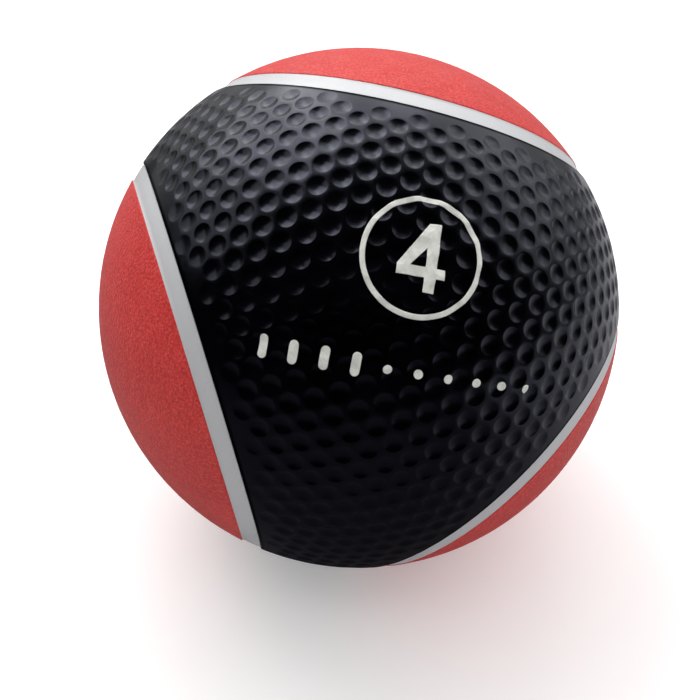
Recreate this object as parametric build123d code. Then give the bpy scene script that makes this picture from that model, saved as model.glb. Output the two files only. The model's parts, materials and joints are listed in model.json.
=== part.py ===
from build123d import *
import math
import os

# Inflatable, weighted rubber medicine ball, 4 kg, in millimetres and degrees.
#
# The ball is drawn about its own pole axis first: the printed front pole is on +Z, the caps' centres are
# in the XY plane, and the top cap is towards +Y. Each piece is then laid down as the ball lies on a floor,
# with the row's origin at the ball's centre and +Z up.

# ---- Driving dimensions ----
BALL_D = 230.0              # outside diameter
COVER_T = 4.0               # moulded outer cover and caps
WEIGHTED_T = 13.5           # heavy filled rubber under the cover
WINDING_T = 1.0             # nylon thread
BLADDER_T = 1.5             # butyl bladder

CAP_COUNT = 3               # red caps, evenly spaced round the equator
CAP_HALF_ANGLE = 45.3       # cap's edge, from the cap's centre
RING_HALF_ANGLE = 49.6      # silver ring's outer edge, from the cap's centre
RING_RECESS = 0.6           # how far the silver ring's face lies under the ball's surface

PRINT_T = 0.3               # depth of the print, flush with the cover
PRINT_TURN = 3.8            # turn of the whole print on the ball, seen from outside
NUMERAL_PLACE = (-3.6, 9.7) # numeral ring's centre from the front pole: right, up (degrees)
NUMERAL_RING_D = 43.0
NUMERAL_RING_LINE = 1.9
NUMERAL_HEIGHT = 24.0
NUMERAL_STEM_W = 0.17       # this and the next six are shares of the numeral's height
NUMERAL_BAR_W = 0.15
NUMERAL_STEM_LEFT = 0.41
NUMERAL_ARM = 0.125         # how far the bar runs past the stem
NUMERAL_BAR_HEIGHT = 0.21
NUMERAL_COUNTER_W = 0.225   # the closed counter
NUMERAL_COUNTER_H = 0.28
SCALE_PLACE = (-2.3, -10.0) # middle of the weight scale from the front pole: right, up (degrees)
SCALE_PIPS = 10             # one pip for each kilogram of the series
SCALE_MARKED = 4            # this ball's weight, in kilograms
SCALE_PITCH = 5.4           # degrees between pips
PIP_LENGTH = 8.4
PIP_SHORT_LENGTH = 3.2
PIP_WIDTH = 3.2

STEM_D = 14.0               # valve housing's stem
STEM_SINK = 0.8             # how far the stem's end lies under the ball's surface
FLANGE_D = 34.0             # valve housing's flange, inside the bladder
FLANGE_T = 2.0
INSERT_HEAD_D = 8.0
INSERT_HEAD_T = 1.2
INSERT_BODY_D = 6.0
INSERT_LENGTH = 17.0
NEEDLE_HOLE_D = 2.4
NEEDLE_HOLE_DEPTH = 11.0

# How the ball lies: the front pole's height above level, its turn to the right, and the caps' roll about it.
POLE_RISE = 34.4
POLE_TURN = 14.8
CAP_ROLL = -22.2

# ---- Worked out ----
BALL_R = BALL_D / 2
COVER_IN = BALL_R - COVER_T
WEIGHTED_IN = COVER_IN - WEIGHTED_T
WINDING_IN = WEIGHTED_IN - WINDING_T
BLADDER_IN = WINDING_IN - BLADDER_T
QUARTER, HALF, FULL = 90.0, 180.0, 360.0
CAP_STEP = FULL / CAP_COUNT
CUT_MARGIN = 2.0            # how far a cutting tool runs past what it cuts

LIE = Rot(Z=POLE_TURN) * Rot(X=QUARTER - POLE_RISE) * Rot(Z=CAP_ROLL)


def polar(radius, angle):
    """A point in the XZ plane, at this radius and this angle from +Z."""
    a = math.radians(angle)
    return (radius * math.sin(a), 0, radius * math.cos(a))


def spherical_band(r_in, r_out, start, end):
    """The part of a spherical shell between two angles from +Z."""
    mid = (start + end) / 2
    outline = [
        ThreePointArc(polar(r_in, start), polar(r_in, mid), polar(r_in, end)),
        Line(polar(r_in, end), polar(r_out, end)),
        ThreePointArc(polar(r_out, end), polar(r_out, mid), polar(r_out, start)),
        Line(polar(r_out, start), polar(r_in, start)),
    ]
    return revolve(make_face(outline), Axis.Z)


def towards(right, up):
    """Turns +Z to a place on the ball given in degrees from the front pole, without rolling the print."""
    spread = math.hypot(right, up)
    heading = math.degrees(math.atan2(up, right))
    return Rot(Z=heading) * Rot(Y=spread) * Rot(Z=-heading)


def on_print(right, up):
    """The same, on the print, which is turned as a whole about the front pole."""
    return towards(right, up) * Rot(Z=PRINT_TURN)


def cap_side(index):
    """Turns +Z to the centre of one cap."""
    return Rot(Z=index * CAP_STEP) * Rot(X=-QUARTER)


def stem_cutter(diameter):
    """A rod from inside the bladder out through the rear pole."""
    length = BALL_R + CUT_MARGIN
    return Rot(X=HALF) * Pos(0, 0, length / 2) * Cylinder(diameter / 2, length)


def print_shell():
    return spherical_band(BALL_R - PRINT_T, BALL_R, 0, QUARTER)


def print_plate(sketch, place):
    """A flat outline, run out through the ball's surface and trimmed to the print's depth."""
    depth = 2 * PRINT_T + BALL_R - BALL_R * math.cos(math.asin(NUMERAL_HEIGHT / BALL_R))
    plate = extrude(Pos(0, 0, BALL_R - depth) * sketch, depth + CUT_MARGIN)
    return place * (plate & print_shell())


def numeral_outline():
    """A bold figure 4: an upright, a crossbar and a slanting arm round a closed counter."""
    h = NUMERAL_HEIGHT
    stem_left = NUMERAL_STEM_LEFT * h
    stem_right = stem_left + NUMERAL_STEM_W * h
    width = stem_right + NUMERAL_ARM * h
    bar_bottom = NUMERAL_BAR_HEIGHT * h
    bar_top = bar_bottom + NUMERAL_BAR_W * h
    outer = Polygon(
        (stem_left, 0),
        (stem_right, 0),
        (stem_right, bar_bottom),
        (width, bar_bottom),
        (width, bar_top),
        (stem_right, bar_top),
        (stem_right, h),
        (stem_left, h),
        (0, bar_top),
        (0, bar_bottom),
        (stem_left, bar_bottom),
        align=None,
    )
    counter = Polygon(
        (stem_left - NUMERAL_COUNTER_W * h, bar_top),
        (stem_left, bar_top),
        (stem_left, bar_top + NUMERAL_COUNTER_H * h),
        align=None,
    )
    return Pos(-width / 2, -h / 2) * (outer - counter)


# ---- Print on the front cover ----
def make_numeral_ring():
    outer = math.degrees(NUMERAL_RING_D / 2 / BALL_R)
    inner = math.degrees((NUMERAL_RING_D / 2 - NUMERAL_RING_LINE) / BALL_R)
    return on_print(*NUMERAL_PLACE) * spherical_band(BALL_R - PRINT_T, BALL_R, inner, outer)


def make_numeral():
    return print_plate(numeral_outline(), on_print(*NUMERAL_PLACE))


def make_weight_scale():
    """Ten pips in a row: long ones up to the ball's weight, then short ones."""
    pips = []
    turn = math.radians(PRINT_TURN)
    for i in range(SCALE_PIPS):
        along = (i - (SCALE_PIPS - 1) / 2) * SCALE_PITCH
        right = SCALE_PLACE[0] + along * math.cos(turn)
        up = SCALE_PLACE[1] + along * math.sin(turn)
        length = PIP_LENGTH if i < SCALE_MARKED else PIP_SHORT_LENGTH
        outline = Circle(PIP_WIDTH / 2)
        if length > PIP_WIDTH:
            outline = SlotOverall(length, PIP_WIDTH, rotation=QUARTER)
        pips.append(print_plate(outline, on_print(right, up)))
    return Compound(pips)


# ---- Covers, caps and rings ----
def half_cover(side):
    """One black cover, from its pole to the equator, open where the caps and rings are."""
    cover = side * spherical_band(COVER_IN, BALL_R, 0, QUARTER)
    window = spherical_band(COVER_IN - CUT_MARGIN, BALL_R + CUT_MARGIN, 0, RING_HALF_ANGLE)
    for i in range(CAP_COUNT):
        cover -= cap_side(i) * window
    return cover


def make_cap(index):
    return cap_side(index) * spherical_band(COVER_IN, BALL_R, 0, CAP_HALF_ANGLE)


def make_ring(index):
    band = spherical_band(COVER_IN, BALL_R - RING_RECESS, CAP_HALF_ANGLE, RING_HALF_ANGLE)
    return cap_side(index) * band


# ---- Inside ----
def hollow_shell(r_in, r_out):
    """A whole shell with the valve stem's hole at the rear pole."""
    return Sphere(r_out) - Sphere(r_in) - stem_cutter(STEM_D)


def make_valve_housing():
    """A flange inside the bladder and a stem through the wall, with a stepped seat for the insert."""
    flange_angle = math.degrees(math.asin(FLANGE_D / 2 / BLADDER_IN))
    flange = spherical_band(BLADDER_IN - FLANGE_T, BLADDER_IN, 0, flange_angle)
    stem_end = BALL_R - STEM_SINK
    stem_start = BLADDER_IN - FLANGE_T / 2
    stem_length = stem_end - stem_start
    stem = Pos(0, 0, stem_start + stem_length / 2) * Cylinder(STEM_D / 2, stem_length)
    body_length = INSERT_LENGTH - INSERT_HEAD_T
    seat = Pos(0, 0, stem_end - INSERT_HEAD_T / 2) * Cylinder(INSERT_HEAD_D / 2, INSERT_HEAD_T)
    body_middle = stem_end - INSERT_HEAD_T - body_length / 2
    socket = Pos(0, 0, body_middle) * Cylinder(INSERT_BODY_D / 2, body_length)
    return Rot(X=HALF) * (flange + stem - seat - socket)


def make_valve_insert():
    """A headed rubber plug with a blind needle hole, closed by its own slit at the bottom."""
    stem_end = BALL_R - STEM_SINK
    body_length = INSERT_LENGTH - INSERT_HEAD_T
    head = Pos(0, 0, stem_end - INSERT_HEAD_T / 2) * Cylinder(INSERT_HEAD_D / 2, INSERT_HEAD_T)
    body_middle = stem_end - INSERT_HEAD_T - body_length / 2
    body = Pos(0, 0, body_middle) * Cylinder(INSERT_BODY_D / 2, body_length)
    hole = Pos(0, 0, stem_end - NEEDLE_HOLE_DEPTH / 2) * Cylinder(NEEDLE_HOLE_D / 2, NEEDLE_HOLE_DEPTH)
    return Rot(X=HALF) * (head + body - hole)


# ---- Assembly ----
FRONT, REAR = Rot(), Rot(X=HALF)

pieces = {
    "numeral_ring": make_numeral_ring(),
    "numeral_four": make_numeral(),
    "weight_scale": make_weight_scale(),
}

front_cover = half_cover(FRONT)
for printed in list(pieces.values()):
    front_cover -= printed
pieces["front_cover"] = front_cover
pieces["rear_cover"] = half_cover(REAR) - stem_cutter(STEM_D)

for index, name in enumerate(("top", "left", "right")):
    pieces[f"red_cap_{name}"] = make_cap(index)
    pieces[f"silver_ring_{name}"] = make_ring(index)

half_shell = spherical_band(WEIGHTED_IN, COVER_IN, 0, QUARTER)
pieces["weighted_shell_front"] = half_shell
pieces["weighted_shell_rear"] = REAR * half_shell - stem_cutter(STEM_D)
pieces["thread_winding"] = hollow_shell(WINDING_IN, WEIGHTED_IN)
pieces["bladder"] = hollow_shell(BLADDER_IN, WINDING_IN)
pieces["valve_housing"] = make_valve_housing()
pieces["valve_insert"] = make_valve_insert()

os.makedirs("parts", exist_ok=True)
for name, shape in pieces.items():
    export_step(LIE * shape, f"parts/{name}.step")
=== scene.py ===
import json
import math

import bmesh
import bpy
import numpy as np
from mathutils import Matrix, Vector, kdtree, noise


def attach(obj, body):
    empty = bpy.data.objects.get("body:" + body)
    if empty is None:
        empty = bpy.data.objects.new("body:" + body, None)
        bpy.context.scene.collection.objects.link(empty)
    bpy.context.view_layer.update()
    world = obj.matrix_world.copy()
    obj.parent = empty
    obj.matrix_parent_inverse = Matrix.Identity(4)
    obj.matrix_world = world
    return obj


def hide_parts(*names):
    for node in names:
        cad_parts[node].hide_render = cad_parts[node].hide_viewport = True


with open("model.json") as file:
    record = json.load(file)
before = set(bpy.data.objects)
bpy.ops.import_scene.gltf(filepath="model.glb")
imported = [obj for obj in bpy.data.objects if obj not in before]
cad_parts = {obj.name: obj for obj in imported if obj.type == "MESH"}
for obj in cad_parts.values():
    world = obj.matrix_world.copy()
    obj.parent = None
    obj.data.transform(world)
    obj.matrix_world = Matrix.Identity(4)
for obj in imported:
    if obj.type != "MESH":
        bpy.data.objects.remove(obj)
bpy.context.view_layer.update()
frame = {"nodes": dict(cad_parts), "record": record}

MM = 0.001
DEG = math.pi / 180
BODY = "root"

# ---- Sizes of what the solids leave out ----
DIMPLES_TO_EQUATOR = 20     # dimples from a pole to the equator, along the middle of a neck
PITCH = 90 * DEG / DIMPLES_TO_EQUATOR
DIMPLE_ANGLE = 1.85 * DEG   # half of a dimple's width, seen from the ball's centre
DIMPLE_DEPTH = 0.85 * MM
RIM_SOFTNESS = 0.03         # how rounded a dimple's rim is, as a share of its bowl
DIMPLE_CLEAR = 2.4 * DEG    # nearest that a dimple's centre comes to the edge of the cover
FULL_DEPTH_CLEAR = 6.5 * DEG    # from here inwards a dimple has its full depth
EDGE_DEPTH_SHARE = 0.40     # depth of the outermost dimples
VALVE_CLEAR = 6.0 * DEG     # plain disc round the valve, with no dimples
LIP = 0.45 * MM             # rounding of a cover's or cap's edge at a silver ring
SEAM_LIP = 0.12 * MM        # rounding where the two covers meet
SEAM_GAP = 0.02 * MM
PRINT_PROUD = 0.09 * MM     # thickness of the ink over the rubber
PRINT_SKIRT = 0.25 * MM
SHADE_LINE_WIDTH = 2.2 * MM        # width of the painted shade line along a cover's edge at a silver ring
PEBBLE = 1.25 * MM          # size of the caps' grain
PEBBLE_HEIGHT = 0.10 * MM
CAP_SPACING = 0.62 * MM     # distance between the points of a cap's mesh


# ---- What the frame says ----
def node_points(name):
    mesh = frame["nodes"][name].data
    co = np.zeros(len(mesh.vertices) * 3)
    mesh.vertices.foreach_get("co", co)
    return co.reshape(-1, 3)


def unit(v):
    v = np.asarray(v, float)
    return v / np.linalg.norm(v, axis=-1, keepdims=True)


def surface_middle(name):
    """The direction of a thin node's middle, weighted by area."""
    middle = Vector((0, 0, 0))
    for polygon in frame["nodes"][name].data.polygons:
        middle += polygon.area * polygon.center
    return unit(middle)


def angles_from(axis, points):
    return np.arccos(np.clip(unit(points) @ axis, -1, 1))


valve = next(m for m in frame["record"]["mounts"] if m["name"] == "valve")
FRONT_POLE = -unit(valve["axis"])
TOP_CAP = surface_middle("red_cap_top")
TOP_CAP = unit(TOP_CAP - (TOP_CAP @ FRONT_POLE) * FRONT_POLE)
# The ball's own frame: columns are right, towards the top cap, and out of the front pole.
BALL = np.array([np.cross(TOP_CAP, FRONT_POLE), TOP_CAP, FRONT_POLE]).T

cover_radii = np.linalg.norm(node_points("front_cover"), axis=1)
BALL_R, COVER_IN = cover_radii.max(), cover_radii.min()
ring_points = node_points("silver_ring_top")
ring_angles = angles_from(TOP_CAP, ring_points)
CAP_ANGLE, RING_ANGLE = ring_angles.min(), ring_angles.max()
RING_R = np.linalg.norm(ring_points, axis=1).max()
housing_points = node_points("valve_housing")
stem = housing_points[-housing_points @ FRONT_POLE > COVER_IN]
STEM_R = np.linalg.norm(stem - np.outer(stem @ FRONT_POLE, FRONT_POLE), axis=1).max()

CAP_HEADINGS = {"top": 90 * DEG, "left": 210 * DEG, "right": 330 * DEG}
CAPS = {n: np.array([math.cos(a), math.sin(a), 0.0]) for n, a in CAP_HEADINGS.items()}
CAP_AXES = np.array(list(CAPS.values()))
NECKS = [-axis[:2] for axis in CAP_AXES]
NECK_STEPS = [np.array([0, -2]), np.array([1, 1]), np.array([-1, 1])]
FRONT = np.array([0.0, 0.0, 1.0])


# ---- The dimples' lattice ----
NECK_BLEND_START = 0.3      # radians from the pole to where the rows begin to follow the necks
NECK_BLEND_LENGTH = 0.7     # and over how many more they come to follow them fully
NECK_SPREAD = 60 * DEG      # half of the sector that belongs to a neck
LATTICE_MARGIN = 3 * DEG    # how far the lattice runs on past a cover's edge
LATTICE_REACH = 2 * DIMPLES_TO_EQUATOR + 8      # columns and half rows to try, out from the pole
SETTLE_ROUNDS = 400
SETTLE_EASE = 0.15          # share of its pull that a point follows in a round
ON_LINE = 0.01              # tolerance in pitches
# A place in the lattice is (column, half row). Its six neighbours, anticlockwise from the right:
AROUND = [(1, 1), (0, 2), (-1, 1), (-1, -1), (0, -2), (1, -1)]
ONE_WAY = AROUND[:2] + AROUND[5:]   # the three that reach each pair of neighbours once


def flat_place(place):
    return np.array([place[0] * math.sqrt(3) / 2, place[1] / 2])


def beside(place, step):
    return (place[0] + step[0], place[1] + step[1])


def clearance(direction):
    """How far a direction is outside the nearest cap's ring, negative inside it."""
    return math.acos(min(1.0, float((CAP_AXES @ direction).max()))) - RING_ANGLE


def first_guess(flat):
    """A lattice place wrapped onto the ball: round the pole near it, along each neck further out."""
    reach = np.linalg.norm(flat)
    if reach == 0:
        return FRONT
    neck = max(NECKS, key=lambda n: flat @ n)
    side = np.array([-neck[1], neck[0]])
    along, across = (flat @ neck) * PITCH, (flat @ side) * PITCH
    on_neck = np.append(math.cos(across) * math.sin(along) * neck + math.sin(across) * side,
                        math.cos(across) * math.cos(along))
    r = reach * PITCH
    round_pole = np.append(math.sin(r) * flat / reach, math.cos(r))
    share = min(1.0, max(0.0, (r - NECK_BLEND_START) / NECK_BLEND_LENGTH))
    share *= max(0.0, 1 - abs(math.atan2(across, along)) / NECK_SPREAD)
    return unit(on_neck * share + round_pole * (1 - share))


def settle(points, links, on_equator, half_row):
    """Evens out the spacing. The equator is a mirror, with points on it and half a row short of it."""
    chord = 2 * math.sin(PITCH / 2)
    for _ in range(SETTLE_ROUNDS):
        d = points[links[:, 1]] - points[links[:, 0]]
        pull = d * (1 - chord / np.linalg.norm(d, axis=1, keepdims=True))
        force = np.zeros_like(points)
        np.add.at(force, links[:, 0], pull)
        np.add.at(force, links[:, 1], -pull)
        force[half_row, 2] -= 2 * points[half_row, 2] - chord
        points = points + SETTLE_EASE * force
        points[on_equator, 2] = 0
        points = unit(points)
    return points


def make_lattice():
    """Returns {place: direction} for the front half, with a margin past every edge."""
    places, guesses = [], []
    tried = range(-LATTICE_REACH, LATTICE_REACH + 1)
    for column in tried:
        for half_row in tried:
            flat = flat_place((column, half_row))
            past_equator = max(flat @ n for n in NECKS) > DIMPLES_TO_EQUATOR + ON_LINE
            if (column - half_row) % 2 or past_equator:
                continue
            guess = first_guess(flat)
            if guess[2] > -0.001 and clearance(guess) > -LATTICE_MARGIN:
                places.append((column, half_row))
                guesses.append(guess)
    number = {p: i for i, p in enumerate(places)}
    links = np.array([(i, number[beside(p, step)]) for p, i in number.items()
                      for step in ONE_WAY if beside(p, step) in number])
    along = np.array([max(flat_place(p) @ n for n in NECKS) for p in places])
    on_equator = np.abs(along - DIMPLES_TO_EQUATOR) < ON_LINE
    half_row = np.abs(along - DIMPLES_TO_EQUATOR + 0.5) < ON_LINE
    points = settle(np.array(guesses), links, on_equator, half_row)
    lattice = dict(zip(places, points))
    for place, point, a in zip(places, points, along):
        steps = round(2 * (DIMPLES_TO_EQUATOR - a))
        if 0 < steps <= 3:
            neck = int(np.argmax([flat_place(place) @ n for n in NECKS]))
            lattice[beside(place, steps * NECK_STEPS[neck])] = point * [1, 1, -1]
    return lattice


def grow(lattice):
    """One more row all round, each new place mirrored through its neighbours."""
    found = {}
    for place, point in lattice.items():
        for i, step in enumerate(AROUND):
            new, opposite = beside(place, step), lattice.get(beside(place, AROUND[(i + 3) % 6]))
            if new not in lattice and opposite is not None:
                found.setdefault(new, []).append(2 * (point @ opposite) * point - opposite)
    return {**lattice, **{p: unit(np.mean(v, axis=0)) for p, v in found.items()}}


LATTICE = make_lattice()
GROWN = grow(LATTICE)


def dimple_depth(direction, rear=False):
    """Depth of the dimple centred here, or 0 where the cover is plain."""
    clear = clearance(direction)
    if clear < DIMPLE_CLEAR or (rear and math.acos(min(1.0, direction[2])) < VALVE_CLEAR):
        return 0.0
    share = min(1.0, (clear - DIMPLE_CLEAR) / (FULL_DEPTH_CLEAR - DIMPLE_CLEAR))
    return DIMPLE_DEPTH * (EDGE_DEPTH_SHARE + (1 - EDGE_DEPTH_SHARE) * share)


def bowl(t):
    """A dimple's profile from 1 at its middle to 0 outside its softened rim, t in dimple radii."""
    x = 1 - t * t
    return (x + np.sqrt(x * x + RIM_SOFTNESS ** 2)) / 2


# ---- Mesh helpers, in the ball's own frame ----
SHARP = 40 * DEG            # an edge sharper than this stays crisp
HOLD = 0.1 * MM             # a surface stops this far short of its rounded edge
LIP_FOOT = 1.3              # first step down a wall below a rounded edge, in roundings
CUT_TOLERANCE = 1e-7


def mesh_of(points, faces):
    mesh = bpy.data.meshes.new("part")
    mesh.from_pydata([tuple(p) for p in points], [], faces)
    return mesh


def bmesh_of(points, faces, weld=0.0):
    mesh = mesh_of(points, faces)
    bm = bmesh.new()
    bm.from_mesh(mesh)
    bpy.data.meshes.remove(mesh)
    if weld:
        bmesh.ops.remove_doubles(bm, verts=bm.verts, dist=weld)
    return bm


def put_in_order(bm):
    """Sorts a mesh's points and faces by where they are, so that their order never varies."""
    for elements, place in ((bm.verts, lambda v: tuple(v.co)),
                            (bm.faces, lambda f: sorted(v.index for v in f.verts))):
        elements.index_update()
        order = {e.index: i for i, e in enumerate(sorted(elements, key=place))}
        elements.sort(key=lambda e: order[e.index])
        elements.index_update()


def finish_piece(name, bm, replaced, material):
    """Turns a mesh in the ball's frame into a piece that stands for a CAD node."""
    bmesh.ops.recalc_face_normals(bm, faces=bm.faces)
    put_in_order(bm)
    mesh = bpy.data.meshes.new(name)
    bm.to_mesh(mesh)
    bm.free()
    mesh.transform(Matrix(BALL.tolist()).to_4x4())
    mesh.materials.append(material)
    mesh.shade_smooth()
    mesh.set_sharp_from_angle(angle=SHARP)
    piece = bpy.data.objects.new(name, mesh)
    bpy.context.scene.collection.objects.link(piece)
    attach(piece, BODY)
    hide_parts(replaced)


def turned_to(axis, direction, angle):
    """The direction moved along its great circle from axis until it is this far from it."""
    out = unit(direction - (direction @ axis) * axis)
    return math.cos(angle) * axis + math.sin(angle) * out


def cut_off(bm, point, outward):
    """Cuts a mesh by a plane and drops what is on its outward side."""
    geometry = bm.verts[:] + bm.edges[:] + bm.faces[:]
    bmesh.ops.bisect_plane(bm, geom=geometry, dist=CUT_TOLERANCE, plane_co=point, plane_no=outward,
                           clear_outer=True)


def open_loops(bm):
    """The mesh's open edges, as a list of loops."""
    boundary = [e for e in bm.edges if e.is_boundary]
    left = set(boundary)
    loops = []
    for edge in boundary:
        if edge not in left:
            continue
        left.remove(edge)
        loop, ends = [edge], list(edge.verts)
        while ends:
            for e in ends.pop().link_edges:
                if e in left:
                    left.remove(e)
                    loop.append(e)
                    ends.extend(e.verts)
        loops.append(loop)
    return loops


def lip_profile(radius, wall):
    """A rounded edge as steps of (distance in from the edge, drop), down to the foot of its wall."""
    steps = [(radius * (1 - math.sin(a * DEG)), radius * (1 - math.cos(a * DEG)))
             for a in (0, 22.5, 45, 67.5, 90)]
    return steps + [(0.0, radius * LIP_FOOT), (0.0, wall)]


def carry_down(bm, loop, place, steps):
    """Extrudes an open loop once for each step, and puts each new point where place says."""
    start = {}
    for e in loop:
        for v in e.verts:
            start[v] = np.array(v.co)
    edges = loop
    for step in steps:
        old = {tuple(v.co): start[v] for e in edges for v in e.verts}
        made = bmesh.ops.extrude_edge_only(bm, edges=edges)["geom"]
        edges = [g for g in made if isinstance(g, bmesh.types.BMEdge) and g.is_boundary]
        fresh = {v for e in edges for v in e.verts}
        start = {v: old[tuple(v.co)] for v in fresh}
        for v in fresh:
            v.co = place(start[v], step)


# ---- The two black covers ----
SIDE_PARTS = 4              # segments along a side of a hexagonal cell
BOWL_RINGS = (0.3, 0.55, 0.78, 0.93, 0.985, 1.03)   # in dimple radii
INNER_MARGIN = 1.2 * DEG    # the inner sheet stops this far inside the edges
INNER_HOLE_MARGIN = 2 * MM  # and this far from the valve's hole
CELL_WELD = 2e-6


def cell_outline(place, parts):
    """A hexagonal cell's outline as directions, its corners half way between three dimples."""
    near = [GROWN[beside(place, step)] for step in AROUND]
    corners = [unit(GROWN[place] + near[i] + near[(i + 1) % 6]) for i in range(6)]
    return np.array([unit(corners[i] * (1 - s / parts) + corners[(i + 1) % 6] * (s / parts))
                     for i in range(6) for s in range(parts)])


def cell_mesh(place, depth, parts, radius):
    """Points and faces of one cell, with a bowl in it if depth isn't 0."""
    centre, outline = GROWN[place], cell_outline(place, parts)
    count = len(outline)
    points = [centre * (radius - depth * bowl(0))]
    if depth:
        out = unit(outline - (outline @ centre)[:, None] * centre)
        for t in BOWL_RINGS:
            angle = t * DIMPLE_ANGLE
            ring = math.cos(angle) * centre + math.sin(angle) * out
            points.extend(ring * (radius - depth * bowl(t)))
    points.extend(outline * radius)
    faces = [(0, 1 + i, 1 + (i + 1) % count) for i in range(count)]
    for first in range(1, len(points) - count, count):
        for i in range(count):
            j = (i + 1) % count
            faces.append((first + i, first + count + i, first + count + j, first + j))
    return points, faces


def cell_sheet(rear, radius, parts, dimpled):
    """All the cells of one cover, welded into one sheet that runs past the cover's edges."""
    points, faces = [], []
    for place, centre in LATTICE.items():
        if not all(beside(place, step) in GROWN for step in AROUND):
            continue
        depth = dimple_depth(centre * [1, 1, np.sign(centre[2]) or 1], rear) if dimpled else 0.0
        cell, cell_faces = cell_mesh(place, depth, parts, radius)
        faces.extend(tuple(len(points) + i for i in f) for f in cell_faces)
        points.extend(cell)
    points = np.array(points)
    if rear:
        points[:, 2] *= -1
    return bmesh_of(points, faces, weld=CELL_WELD)


def trim_cover(bm, rear, radius, ring_inset, seam_inset, hole_inset):
    """Cuts a sheet back from the rings by an angle, and from the seam and the valve by lengths."""
    side = -1 if rear else 1
    for axis in CAPS.values():
        cut_off(bm, axis * radius * math.cos(RING_ANGLE + ring_inset), axis)
    cut_off(bm, (0, 0, side * seam_inset), (0, 0, -side))
    if rear:
        hole = STEM_R + hole_inset
        cut_off(bm, (0, 0, -math.sqrt(radius ** 2 - hole ** 2)), (0, 0, -1))


def cover_edge(rear):
    """Gives a function for where a point of a cover's edge goes, for a step of insets and drops."""
    side = -1 if rear else 1

    def place(start, step):
        inset, drop, seam_inset, seam_drop = step
        r0 = np.linalg.norm(start)
        d = start / r0
        if rear and -d[2] > math.cos(2 * VALVE_CLEAR):
            r, rho = max(r0 - drop, COVER_IN), STEM_R + inset
            return (*(unit(d[:2]) * rho), -math.sqrt(r * r - rho * rho))
        near = CAP_AXES[int(np.argmax(CAP_AXES @ d))]
        at_ring = d @ near > math.cos(RING_ANGLE + 1.5 * (LIP + HOLD) / BALL_R)
        at_seam = abs(start[2]) < SEAM_LIP + HOLD
        angle = RING_ANGLE + inset / BALL_R
        z = side * (seam_inset + SEAM_GAP) / BALL_R
        if at_ring and at_seam:
            across = np.cross(FRONT, near)
            rest = math.sqrt(1 - math.cos(angle) ** 2 - z * z)
            d = math.cos(angle) * near + z * FRONT + math.copysign(rest, d @ across) * across
        elif at_ring:
            d = turned_to(near, d, angle)
        else:
            d = np.append(unit(d[:2]) * math.sqrt(1 - z * z), z)
        r = r0 - (drop if at_ring else seam_drop)
        return tuple(d * max(r, COVER_IN))

    return place


def make_cover(name, rear, material):
    bm = cell_sheet(rear, BALL_R, SIDE_PARTS, dimpled=True)
    trim_cover(bm, rear, BALL_R, (LIP + HOLD) / BALL_R, SEAM_LIP + HOLD / 2 + SEAM_GAP, LIP + HOLD)
    wall = BALL_R - COVER_IN
    steps = [a + b for a, b in zip(lip_profile(LIP, wall), lip_profile(SEAM_LIP, wall))]
    for loop in open_loops(bm):
        carry_down(bm, loop, cover_edge(rear), steps)
    inner = cell_sheet(rear, COVER_IN, 1, dimpled=False)
    trim_cover(inner, rear, COVER_IN, INNER_MARGIN, math.sin(INNER_MARGIN) * COVER_IN, INNER_HOLE_MARGIN)
    join_sheets(bm, inner)
    finish_piece(name + "_dimpled", bm, name, material)


def loop_middle(loop):
    points = np.array([v.co for e in loop for v in e.verts])
    return points.mean(axis=0)


def join_sheets(bm, inner):
    """Adds an inner sheet and bridges each of its open loops to the outer sheet's nearest one."""
    outer_loops = open_loops(bm)
    known = set(bm.edges)
    part = bpy.data.meshes.new("part")
    inner.to_mesh(part)
    inner.free()
    bm.from_mesh(part)
    bpy.data.meshes.remove(part)
    inner_loops = [loop for loop in open_loops(bm) if loop[0] not in known]
    for loop in inner_loops:
        middle = loop_middle(loop)
        partner = min(outer_loops, key=lambda o: np.linalg.norm(loop_middle(o) - middle))
        bmesh.ops.bridge_loops(bm, edges=loop + partner)


# ---- Caps ----
INNER_RINGS = 18            # rings of points in a cap's inner face
PEBBLE_FADE = 1.2 * DEG     # the grain fades out over this width at the edge
GRAIN_FLANK = 1.6           # steepness of a grain's sides
GRAIN_DOME = 0.35           # how much a grain falls from its middle
SWELL = 0.5                 # slow unevenness, in grain heights
SWELL_SCALE = 0.35          # its waves to one grain
GRAIN_TOP = 0.8             # height of a grain that lies level with the ball


def across_of(axis):
    """Two directions square to axis: along the equator, and to the front pole."""
    return np.cross(FRONT, axis), FRONT


def disc_sheet(axis, edge_angle, rings, height):
    """A dome of concentric rings about axis, ring i with 6 i points, at the radii that height gives."""
    across, up = across_of(axis)
    directions = [axis]
    for i in range(1, rings + 1):
        angle = edge_angle * i / rings
        turn = np.arange(6 * i) * (2 * math.pi / (6 * i))
        ring = np.outer(np.cos(turn), across) + np.outer(np.sin(turn), up)
        directions.extend(math.cos(angle) * axis + math.sin(angle) * ring)
    start = [0] + [1 + 3 * i * (i - 1) for i in range(1, rings + 1)]
    faces = []
    for i in range(1, rings + 1):
        inner_count, outer_count = max(1, 6 * (i - 1)), 6 * i
        for sector in range(6):
            for j in range(i):
                a = start[i] + (sector * i + j) % outer_count
                b = start[i] + (sector * i + j + 1) % outer_count
                c = start[i - 1] + (sector * (i - 1) + j) % inner_count
                faces.append((a, b, c))
                if j < i - 1:
                    d = start[i - 1] + (sector * (i - 1) + j + 1) % inner_count
                    faces.append((c, b, d))
    directions = np.array(directions)
    return directions * height(directions)[:, None], faces


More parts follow.
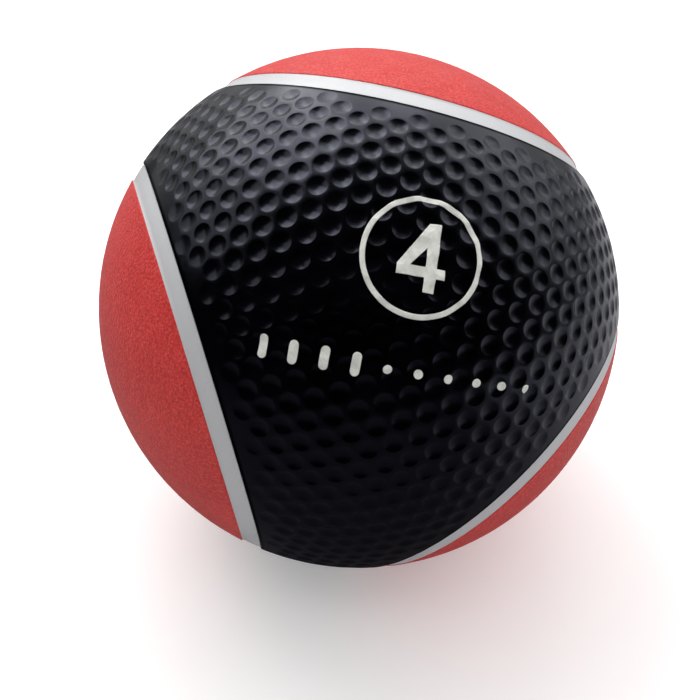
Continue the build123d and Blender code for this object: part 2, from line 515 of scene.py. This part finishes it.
def pebbled(directions, edge_angle, axis):
    """Radii of a cap's surface: rounded grains with creases between them, fading out at the edge."""
    radii = np.empty(len(directions))
    fade_start = edge_angle - PEBBLE_FADE
    angles = angles_from(axis, directions)
    for i, d in enumerate(directions):
        at = Vector(d * (BALL_R / PEBBLE))
        near, second = noise.voronoi(at)[0][:2]
        grain = min(1.0, (second - near) * GRAIN_FLANK) - GRAIN_DOME * near
        grain += SWELL * noise.noise(at * SWELL_SCALE)
        radii[i] = BALL_R + PEBBLE_HEIGHT * (grain - GRAIN_TOP)
    fade = np.clip((edge_angle - angles) / (edge_angle - fade_start), 0, 1)
    return BALL_R + (radii - BALL_R) * fade


def make_cap(which, material):
    axis = CAPS[which]
    edge = CAP_ANGLE - (LIP + HOLD) / BALL_R
    rings = round(edge * BALL_R / CAP_SPACING)
    bm = bmesh_of(*disc_sheet(axis, edge, rings, lambda d: pebbled(d, edge, axis)))
    steps = lip_profile(LIP, BALL_R - COVER_IN)

    def place(start, step):
        r0 = np.linalg.norm(start)
        d = turned_to(axis, start / r0, CAP_ANGLE - step[0] / BALL_R)
        return tuple(d * max(r0 - step[1], COVER_IN))

    carry_down(bm, open_loops(bm)[0], place, steps)
    inner_edge = CAP_ANGLE - INNER_MARGIN
    inner = disc_sheet(axis, inner_edge, INNER_RINGS, lambda d: np.full(len(d), COVER_IN))
    join_sheets(bm, bmesh_of(*inner))
    name = f"red_cap_{which}"
    finish_piece(name + "_pebbled", bm, name, material)


# ---- Silver rings ----
RING_SEGMENTS = 360
RING_FACE_STEPS = 12
RING_CROWN = 0.12 * MM      # how much the ring's face bulges
RING_GROOVE = 0.55 * MM     # width of the groove left between the ring and the black cover
GROOVE_DEPTH = 0.6 * MM     # under the top of the ring's face
GROOVE_FLOOR = 0.6          # share of the groove's width that is flat
RING_FILLET = 1.3 * MM      # how far the ring's face sweeps up to meet the cap
RING_MEETS_CAP = 0.32 * MM  # under the ball's surface


def ring_profile():
    """The ring's section as (angle from the cap's axis, radius), once round."""
    inner, outer = CAP_ANGLE, RING_ANGLE
    groove = RING_GROOVE / BALL_R
    low = RING_R - GROOVE_DEPTH
    rise = BALL_R - RING_MEETS_CAP - (RING_R - RING_CROWN)
    face = []
    for i in range(RING_FACE_STEPS + 1):
        s = i / RING_FACE_STEPS
        angle = inner + s * (outer - inner - groove)
        bulge = RING_CROWN * (1 - (2 * s - 1) ** 2)
        sweep = max(0.0, 1 - (angle - inner) * BALL_R / RING_FILLET) ** 2
        face.append((angle, RING_R - RING_CROWN + bulge + rise * sweep))
    floor = outer - groove * GROOVE_FLOOR
    return [(inner, COVER_IN), *face, (floor, low), (outer, low), (outer, COVER_IN)]


def make_ring(which, material):
    axis = CAPS[which]
    across, up = across_of(axis)
    profile = ring_profile()
    points, faces = [], []
    for i in range(RING_SEGMENTS):
        turn = 2 * math.pi * i / RING_SEGMENTS
        out = math.cos(turn) * across + math.sin(turn) * up
        points.extend((math.cos(a) * axis + math.sin(a) * out) * r for a, r in profile)
    n = len(profile)
    for i in range(RING_SEGMENTS):
        here, there = i * n, (i + 1) % RING_SEGMENTS * n
        for j in range(n):
            k = (j + 1) % n
            faces.append((here + j, there + j, there + k, here + k))
    bm = bmesh_of(points, faces)
    name = f"silver_ring_{which}"
    finish_piece(name + "_crowned", bm, name, material)


# ---- Print on the front cover ----
PRINT_EDGE = 0.7 * MM       # longest edge in the print's mesh
SPLIT_ROUNDS = 8
NODE_WELD = 1e-6
SKIN = 0.05 * MM            # a face deeper than this is no part of the outer skin
SLIVER = 0.02 * MM          # edges shorter than this are closed up
dimple_tree = kdtree.KDTree(len(LATTICE))
for index, direction in enumerate(LATTICE.values()):
    dimple_tree.insert(direction, index)
dimple_tree.balance()


def cover_radius(direction):
    """Radius of the front cover's dimpled face in this direction."""
    centre, _, _ = dimple_tree.find(direction)
    t = direction.angle(centre) / DIMPLE_ANGLE
    if t > BOWL_RINGS[-1]:
        return BALL_R
    return BALL_R - dimple_depth(np.array(centre)) * float(bowl(t))


def outer_faces(name):
    """The outer skin of a printed node, in the ball's frame."""
    bm = bmesh.new()
    bm.from_mesh(frame["nodes"][name].data)
    bmesh.ops.remove_doubles(bm, verts=bm.verts, dist=NODE_WELD)
    bmesh.ops.transform(bm, matrix=Matrix(BALL.T.tolist()).to_4x4(), verts=bm.verts)
    inside = [f for f in bm.faces if min(v.co.length for v in f.verts) < BALL_R - SKIN]
    bmesh.ops.delete(bm, geom=inside, context="FACES")
    return bm


def make_print(name, material):
    """A layer of ink that follows the dimples, with its side walls sunk in the rubber."""
    bm = outer_faces(name)
    bmesh.ops.triangulate(bm, faces=bm.faces)
    for _ in range(SPLIT_ROUNDS):
        long_edges = [e for e in bm.edges if e.calc_length() > PRINT_EDGE]
        if not long_edges:
            break
        bmesh.ops.subdivide_edges(bm, edges=long_edges, cuts=1)
        bmesh.ops.triangulate(bm, faces=bm.faces)
        bmesh.ops.beautify_fill(bm, faces=bm.faces, edges=bm.edges)
    bmesh.ops.dissolve_degenerate(bm, edges=bm.edges, dist=SLIVER)
    for v in bm.verts:
        direction = v.co.normalized()
        v.co = direction * (cover_radius(direction) + PRINT_PROUD)
    edges = [e for e in bm.edges if e.is_boundary]
    made = bmesh.ops.extrude_edge_only(bm, edges=edges)["geom"]
    for v in (g for g in made if isinstance(g, bmesh.types.BMVert)):
        v.co = v.co.normalized() * (v.co.length - PRINT_SKIRT)
    finish_piece(name + "_inked", bm, name, material)


# ---- Materials ----
GLOSS = 0.5                 # specular level of the black rubber
SHADE_LINE_GLOSS = 0.03           # and of the painted shade line along its edges at the rings, darkened by taking the gloss away
GROOVE_SHADE_DEPTH = 0.45 * MM     # under the ring's face, where the painted shade in its groove is fully black
GROOVE_SHADE_START = 0.10 * MM
THREAD_BAND = 5 * MM        # width of a band of thread


def new_material(name):
    """A material with its shader and a function that adds a node and sets its inputs."""
    material = bpy.data.materials.new(name)
    material.use_nodes = True
    tree = material.node_tree
    shader = tree.nodes["Principled BSDF"]

    def add(kind, settings=None, **inputs):
        node = tree.nodes.new("ShaderNode" + kind)
        for key, value in (settings or {}).items():
            setattr(node, key, value)
        for key, value in inputs.items():
            socket = node.inputs[key.replace("_", " ")]
            if isinstance(value, bpy.types.NodeSocket):
                tree.links.new(value, socket)
            else:
                socket.default_value = value
        return node

    return material, shader, add, tree.links.new


def place_of(add):
    return add("TexCoord").outputs["Object"]


def colour(r, g, b):
    """A linear colour from one given in ordinary display values."""
    return tuple((c / 255) ** 2.2 for c in (r, g, b)) + (1.0,)


def noise_of(add, size, detail=3.0, roughness=0.55):
    """Noise with features of this size in metres, as a value round a half."""
    node = add("TexNoise", Vector=place_of(add), Scale=1 / size, Detail=detail, Roughness=roughness)
    return node.outputs["Fac"]


def grains_of(add, size, feature="SMOOTH_F1"):
    """Distance from the middle of the nearest grain, for grains of this size in metres."""
    node = add("TexVoronoi", {"feature": feature}, Vector=place_of(add), Scale=1 / size)
    return node.outputs["Distance"]


def highest(add, a, b):
    node = add("Math", {"operation": "MAXIMUM"})
    node.id_data.links.new(a, node.inputs[0])
    node.id_data.links.new(b, node.inputs[1])
    return node.outputs[0]


def ranged(add, value, low, high, to_low, to_high):
    """A value eased from to_low, where it is low or less, to to_high, where it is high or more."""
    node = add("MapRange", {"interpolation_type": "SMOOTHSTEP"}, Value=value)
    for key, number in zip(("From Min", "From Max", "To Min", "To Max"),
                           (low, high, to_low, to_high)):
        node.inputs[key].default_value = number
    return node.outputs["Result"]


def mixed(add, share, first, second):
    """A colour between two, share being the second one's part."""
    node = add("Mix", {"data_type": "RGBA"})
    link = node.id_data.links.new
    for index, value in ((0, share), (6, first), (7, second)):
        if isinstance(value, bpy.types.NodeSocket):
            link(value, node.inputs[index])
        else:
            node.inputs[index].default_value = value
    return node.outputs[2]


def bumped(add, height, depth, under=None):
    """A bump of this depth in metres, over another one if given."""
    node = add("Bump", Height=height, Distance=depth, Strength=1.0)
    if under is not None:
        node.id_data.links.new(under, node.inputs["Normal"])
    return node.outputs["Normal"]


def nearness_to_rings(add):
    """Cosine of the angle from the nearest cap's centre, on the ball's surface."""
    outward = add("VectorMath", {"operation": "NORMALIZE"}, Vector=place_of(add)).outputs["Vector"]
    nearest = None
    for axis in CAPS.values():
        across = add("VectorMath", {"operation": "DOT_PRODUCT"}, Vector=outward)
        across.inputs[1].default_value = BALL @ axis
        value = across.outputs["Value"]
        nearest = value if nearest is None else highest(add, nearest, value)
    return nearest


def black_rubber():
    """Glossy black rubber, with its gloss taken away along its edges at the silver rings to paint a line
    of shade there.
    """
    material, shader, add, link = new_material("black_rubber")
    cloudy = ranged(add, noise_of(add, 22 * MM, 4), 0.35, 0.7, 0, 1)
    base = mixed(add, cloudy, colour(6, 6, 9), colour(10, 10, 14))
    dust = ranged(add, noise_of(add, 0.9 * MM, 2, 0.7), 0.70, 0.82, 0, 0.30)
    link(mixed(add, dust, base, colour(52, 52, 56)), shader.inputs["Base Color"])
    link(ranged(add, noise_of(add, 6 * MM, 5, 0.65), 0.3, 0.7, 0.20, 0.26), shader.inputs["Roughness"])
    grain = bumped(add, noise_of(add, 0.35 * MM, 3, 0.6), 0.006 * MM)
    link(bumped(add, noise_of(add, 5 * MM, 2), 0.05 * MM, grain), shader.inputs["Normal"])
    # Painted shade: the gloss fades out towards each ring, so the black goes darker there as if
    # shadowed.
    shade_line_start = math.cos(RING_ANGLE + SHADE_LINE_WIDTH / BALL_R)
    shade_line_full = math.cos(RING_ANGLE + SHADE_LINE_WIDTH / 2 / BALL_R)
    gloss = ranged(add, nearness_to_rings(add), shade_line_start, shade_line_full, GLOSS, SHADE_LINE_GLOSS)
    link(gloss, shader.inputs["Specular IOR Level"])
    shader.inputs["Specular Tint"].default_value = colour(222, 227, 255)
    return material


def red_rubber():
    """Red pebbled rubber, paler where it is rubbed, with painted shade in the grain's creases and pits
    and painted highlights on its raised tips.
    """
    material, shader, add, link = new_material("red_rubber")
    pebble = grains_of(add, 1.15 * MM)
    cloudy = ranged(add, noise_of(add, 30 * MM, 4), 0.3, 0.7, 0, 1)
    base = mixed(add, cloudy, colour(212, 44, 40), colour(220, 52, 47))
    # Painted shade: the creases between the grains, the low parts of the bump, are coloured darker.
    crease_shade = ranged(add, pebble, 0.25, 0.62, 0, 0.35)
    worn = ranged(add, noise_of(add, 2.2 * MM, 3, 0.7), 0.55, 0.75, 0, 0.22)
    with_crease_shade = mixed(add, crease_shade, base, colour(170, 24, 22))
    rubbed = mixed(add, worn, with_crease_shade, colour(228, 88, 82))
    speckle = noise_of(add, 0.85 * MM, 1)
    # The speckle is also the fine bump's height: its low pits get painted shade and its high tips a
    # painted highlight.
    with_pit_shade = mixed(add, ranged(add, speckle, 0.34, 0.48, 0.45, 0), rubbed, colour(156, 20, 18))
    tip_highlight = ranged(add, speckle, 0.52, 0.68, 0, 0.16)
    link(mixed(add, tip_highlight, with_pit_shade, colour(240, 150, 140)), shader.inputs["Base Color"])
    link(ranged(add, noise_of(add, 9 * MM, 4), 0.3, 0.7, 0.52, 0.64), shader.inputs["Roughness"])
    fine = bumped(add, speckle, 0.14 * MM)
    low = ranged(add, pebble, 0.1, 0.7, 1, 0)
    link(bumped(add, low, 0.14 * MM, fine), shader.inputs["Normal"])
    shader.inputs["Specular IOR Level"].default_value = 0.5
    shader.inputs["Sheen Weight"].default_value = 0.06
    shader.inputs["Sheen Roughness"].default_value = 0.45
    return material


def silver_rubber():
    """Silver-grey rubber with fine flakes, scuffed in places, with painted shade darkening its groove to
    black at the bottom.
    """
    material, shader, add, link = new_material("silver_rubber")
    flake = ranged(add, grains_of(add, 0.16 * MM, "F1"), 0.1, 0.7, 0, 1)
    base = mixed(add, flake, colour(212, 212, 214), colour(197, 198, 201))
    rubbed = ranged(add, noise_of(add, 4 * MM, 5, 0.7), 0.60, 0.74, 0, 0.3)
    worn = mixed(add, rubbed, base, colour(176, 177, 181))
    height = add("VectorMath", {"operation": "LENGTH"}, Vector=place_of(add)).outputs["Value"]
    face = RING_R - RING_CROWN
    # Painted shade: the ring goes black with depth down its groove, where the groove's shadow falls.
    groove_shade = ranged(add, height, face - GROOVE_SHADE_DEPTH, face - GROOVE_SHADE_START, 1, 0)
    link(mixed(add, groove_shade, worn, colour(24, 24, 27)), shader.inputs["Base Color"])
    link(ranged(add, noise_of(add, 5 * MM, 4), 0.3, 0.7, 0.34, 0.46), shader.inputs["Roughness"])
    link(bumped(add, noise_of(add, 0.8 * MM, 4, 0.6), 0.02 * MM), shader.inputs["Normal"])
    shader.inputs["Metallic"].default_value = 0.1
    return material


def print_ink():
    """Off-white ink, patchy, and thin enough in places for the black to show."""
    material, shader, add, link = new_material("print_ink")
    patchy = ranged(add, noise_of(add, 2.5 * MM, 4, 0.65), 0.35, 0.7, 0, 1)
    base = mixed(add, patchy, colour(226, 226, 219), colour(208, 208, 201))
    thin = ranged(add, noise_of(add, 0.5 * MM, 3, 0.7), 0.66, 0.80, 0, 0.5)
    link(mixed(add, thin, base, colour(120, 120, 116)), shader.inputs["Base Color"])
    link(ranged(add, noise_of(add, 3 * MM, 3), 0.3, 0.7, 0.50, 0.62), shader.inputs["Roughness"])
    link(bumped(add, noise_of(add, 0.4 * MM, 3), 0.012 * MM), shader.inputs["Normal"])
    return material


def weighted_rubber():
    """Rubber heavy with mineral filler, which shows as pale and rusty specks."""
    material, shader, add, link = new_material("weighted_rubber")
    speck = ranged(add, grains_of(add, 1.4 * MM, "F1"), 0.12, 0.22, 1, 0)
    cloudy = ranged(add, noise_of(add, 12 * MM, 4), 0.3, 0.7, 0, 1)
    base = mixed(add, cloudy, colour(46, 43, 41), colour(62, 57, 53))
    link(mixed(add, speck, base, colour(132, 110, 92)), shader.inputs["Base Color"])
    link(ranged(add, noise_of(add, 3 * MM), 0.3, 0.7, 0.7, 0.85), shader.inputs["Roughness"])
    link(bumped(add, noise_of(add, 1.2 * MM, 5, 0.7), 0.12 * MM), shader.inputs["Normal"])
    return material


def nylon_thread():
    """Thread wound round the bladder in many directions, dipped in latex."""
    material, shader, add, link = new_material("nylon_thread")
    heights = []
    for bands in ("X", "Y", "Z", "DIAGONAL"):
        wave = add("TexWave", {"bands_direction": bands}, Vector=place_of(add),
                   Scale=1 / THREAD_BAND, Distortion=2.5, Detail=2.0)
        wave.inputs["Detail Scale"].default_value = 0.4
        heights.append(wave.outputs["Fac"])
    top = heights[0]
    for height in heights[1:]:
        top = highest(add, top, height)
    link(mixed(add, ranged(add, top, 0.5, 1, 0, 1), colour(120, 112, 90), colour(222, 214, 190)),
         shader.inputs["Base Color"])
    link(ranged(add, noise_of(add, 4 * MM), 0.3, 0.7, 0.45, 0.6), shader.inputs["Roughness"])
    link(bumped(add, top, 0.25 * MM), shader.inputs["Normal"])
    return material


def plain_rubber(name, dark, light, roughness, grain):
    """Smooth moulded rubber with cloudy colour and talc in its grain."""
    material, shader, add, link = new_material(name)
    cloudy = ranged(add, noise_of(add, 8 * MM, 4), 0.3, 0.7, 0, 1)
    base = mixed(add, cloudy, dark, light)
    talc = ranged(add, noise_of(add, 0.7 * MM, 4, 0.7), 0.62, 0.78, 0, 0.3)
    link(mixed(add, talc, base, colour(150, 148, 144)), shader.inputs["Base Color"])
    link(ranged(add, noise_of(add, 2 * MM), 0.3, 0.7, roughness, roughness + 0.12),
         shader.inputs["Roughness"])
    link(bumped(add, noise_of(add, grain, 3), 0.03 * MM), shader.inputs["Normal"])
    return material


# ---- The object ----
def build_ball():
    black = black_rubber()
    make_cover("front_cover", False, black)
    make_cover("rear_cover", True, black)
    red, silver, ink = red_rubber(), silver_rubber(), print_ink()
    for which in CAPS:
        make_cap(which, red)
        make_ring(which, silver)
    for name in ("numeral_ring", "numeral_four", "weight_scale"):
        make_print(name, ink)


def dress_solids():
    """Gives the solids that keep their own shape their materials."""
    filled, thread = weighted_rubber(), nylon_thread()
    butyl = plain_rubber("butyl_rubber", colour(30, 30, 32), colour(42, 42, 44), 0.42, 0.8 * MM)
    housing = plain_rubber("valve_rubber", colour(24, 24, 26), colour(34, 34, 36), 0.5, 0.5 * MM)
    plug = plain_rubber("valve_plug", colour(92, 92, 94), colour(112, 112, 114), 0.45, 0.4 * MM)
    dressed = {"weighted_shell_front": filled, "weighted_shell_rear": filled,
               "thread_winding": thread, "bladder": butyl, "valve_housing": housing,
               "valve_insert": plug}
    for name, material in dressed.items():
        for material_slot in frame["nodes"][name].material_slots:
            material_slot.material = material


# ---- Floor, light and camera ----
FLOOR_HALF = 8              # half of the floor's side, in metres
FLOOR_GLOW = 0.22           # adds to the light that the paper sends to the eye
FLOOR_GLOW_COLOUR = (1, 1, 1, 1)
FLOOR_BRIGHT_SIDE = (0.8, 0.6, 0)       # the rubber reflects bright paper from this side
FLOOR_DIM_FROM, FLOOR_DIM_TO = -0.05, 0.35      # metres that way from the ball's foot
WORLD_BRIGHT_SIDE = Vector((0.15, 0.95, -0.1))
WORLD_FROM, WORLD_TO = -0.15, 0.7       # cosines between which the world goes from dark to bright
WORLD_BRIGHT = 0.5
CAMERA_RISE = 37 * DEG
CAMERA_DISTANCE = 3.57 * BALL_R
CAMERA_SENSOR, CAMERA_LENS = 36, 45.87
BALL_DRAWN_RIGHT, BALL_DRAWN_UP = 0.0126, 0.0603    # the ball's middle, in picture widths
# Each light's name, heading and height in degrees, distance and size in metres, and radiance.
# The heading is from behind the ball round to the right. Radiance 1 would show white paper as white.
SOFTBOXES = (
    ("left_softbox", -78, 40, 1.2, (0.9, 0.7), 0.8),
    ("upper_left_softbox", -50, 66, 1.2, (0.7, 0.4), 2.4),
    ("back_left_softbox", -38, 44, 1.2, (0.8, 0.6), 2.1),
    ("back_softbox", 0, 46, 1.2, (0.8, 0.8), 1.2),
    ("upper_back_softbox", 0, 72, 1.2, (0.7, 0.35), 0.9),
    ("back_right_softbox", 38, 42, 1.2, (0.8, 0.8), 0.8),
    ("right_softbox", 75, 35, 1.2, (0.8, 0.8), 0.7),
)
# These have no reflection in the rubber.
FILLS = (
    ("top_fill", 0, 88, 2.2, (2.6, 2.6), 1.0),
    ("front_fill", 180, 45, 1.2, (1.2, 1.2), 0.7),
    ("right_fill", 110, 30, 1.2, (1.2, 1.2), 0.7),
    ("left_fill", -85, 35, 1.2, (1.2, 1.2), 0.65),
)


def make_floor():
    """White paper, over-exposed to the eye and darker in the rubber's reflections."""
    corners = ((-1, -1), (1, -1), (1, 1), (-1, 1))
    mesh = mesh_of([(x * FLOOR_HALF, y * FLOOR_HALF, -BALL_R) for x, y in corners], [(0, 1, 2, 3)])
    floor = bpy.data.objects.new("floor", mesh)
    bpy.context.scene.collection.objects.link(floor)
    material, shader, add, link = new_material("floor_white")
    ray = add("LightPath").outputs
    across = add("VectorMath", {"operation": "DOT_PRODUCT"}, Vector=place_of(add))
    across.inputs[1].default_value = FLOOR_BRIGHT_SIDE
    brightness = ranged(add, across.outputs["Value"], FLOOR_DIM_FROM, FLOOR_DIM_TO, 0, 1)
    dim = mixed(add, brightness, colour(80, 80, 87), colour(190, 190, 195))
    paper = mixed(add, noise_of(add, 0.3, 3), colour(244, 244, 244), colour(247, 247, 247))
    link(mixed(add, ray["Is Glossy Ray"], paper, dim), shader.inputs["Base Color"])
    shader.inputs["Emission Color"].default_value = FLOOR_GLOW_COLOUR
    link(ranged(add, ray["Is Camera Ray"], 0, 1, 0, FLOOR_GLOW), shader.inputs["Emission Strength"])
    shader.inputs["Roughness"].default_value = 0.8
    shader.inputs["Specular IOR Level"].default_value = 0.1
    mesh.materials.append(material)


def make_light(name, heading, height, distance, size, radiance, glossy):
    """A soft rectangular light that faces the ball."""
    data = bpy.data.lights.new(name, "AREA")
    data.shape = "RECTANGLE"
    data.size, data.size_y = size
    data.energy = radiance * math.pi * size[0] * size[1]
    light = bpy.data.objects.new(name, data)
    a, e = heading * DEG, height * DEG
    towards = Vector((math.cos(e) * math.sin(a), math.cos(e) * math.cos(a), math.sin(e)))
    light.location = towards * distance
    light.rotation_mode = "QUATERNION"
    light.rotation_quaternion = towards.to_track_quat("Z", "Y")
    light.visible_camera = False
    light.visible_glossy = glossy
    bpy.context.scene.collection.objects.link(light)


def make_world():
    """Soft light from behind and both sides, fading to dark in front of the ball."""
    world = bpy.data.worlds.new("studio")
    world.use_nodes = True
    bpy.context.scene.world = world
    tree = world.node_tree
    nodes, link = tree.nodes, tree.links.new
    direction = nodes.new("ShaderNodeTexCoord").outputs["Generated"]
    facing = nodes.new("ShaderNodeVectorMath")
    facing.operation = "DOT_PRODUCT"
    facing.inputs[1].default_value = WORLD_BRIGHT_SIDE.normalized()
    link(direction, facing.inputs[0])
    ramp = nodes.new("ShaderNodeMapRange")
    ramp.interpolation_type = "SMOOTHSTEP"
    link(facing.outputs["Value"], ramp.inputs["Value"])
    for key, number in (("From Min", WORLD_FROM), ("From Max", WORLD_TO), ("To Min", 0.0),
                        ("To Max", WORLD_BRIGHT)):
        ramp.inputs[key].default_value = number
    seen = nodes.new("ShaderNodeLightPath").outputs["Is Camera Ray"]
    strength = nodes.new("ShaderNodeMix")
    link(seen, strength.inputs[0])
    link(ramp.outputs["Result"], strength.inputs[2])
    strength.inputs[3].default_value = 1.0
    background = nodes["Background"]
    background.inputs["Color"].default_value = (1, 1, 1, 1)
    link(strength.outputs[0], background.inputs["Strength"])


def make_camera():
    data = bpy.data.cameras.new("camera")
    data.sensor_width, data.lens = CAMERA_SENSOR, CAMERA_LENS
    camera = bpy.data.objects.new("camera", data)
    bpy.context.scene.collection.objects.link(camera)
    camera.location = Vector((0, -math.cos(CAMERA_RISE), math.sin(CAMERA_RISE))) * CAMERA_DISTANCE
    camera.rotation_euler = (90 * DEG - CAMERA_RISE, 0, 0)
    data.shift_x, data.shift_y = -BALL_DRAWN_RIGHT, -BALL_DRAWN_UP
    data.clip_start, data.clip_end = 0.01, 50
    bpy.context.scene.camera = camera


def make_studio():
    bpy.context.scene.view_settings.view_transform = "Standard"
    make_floor()
    make_world()
    for light in SOFTBOXES:
        make_light(*light, glossy=True)
    for light in FILLS:
        make_light(*light, glossy=False)
    make_camera()


build_ball()
dress_solids()
make_studio()
